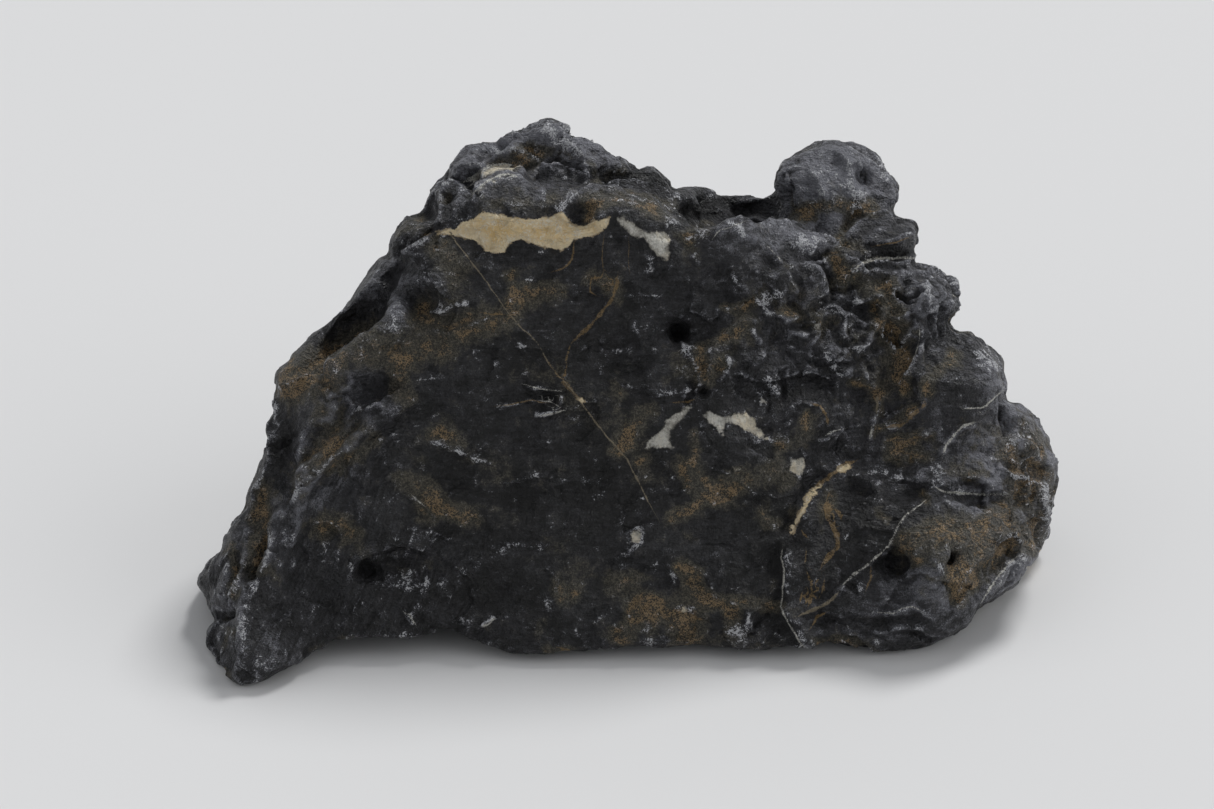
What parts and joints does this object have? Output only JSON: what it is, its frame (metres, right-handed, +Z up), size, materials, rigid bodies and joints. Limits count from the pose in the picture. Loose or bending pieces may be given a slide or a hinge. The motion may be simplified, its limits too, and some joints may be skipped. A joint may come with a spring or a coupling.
{
  "type": "aquarium rock",
  "caption": "Dark limestone hardscape rock with a broad leaning face, a jagged crest with a hollow in it, a bulging right end and a pointed left foot.",
  "frame": {"origin": "middle of the bounding box on the ground that the stone rests on", "axes": "+X along the stone's length, from the pointed foot to the bulging end; +Y away from the broad leaning face, towards the back; +Z up"},
  "size_m": [0.2912, 0.1654, 0.1508],
  "materials": {
    "limestone": "matte, water-worn, with pale calcite veins and ochre iron stains"
  },
  "bodies": {
    "root": {"rock": "limestone"}
  },
  "joints": []
}
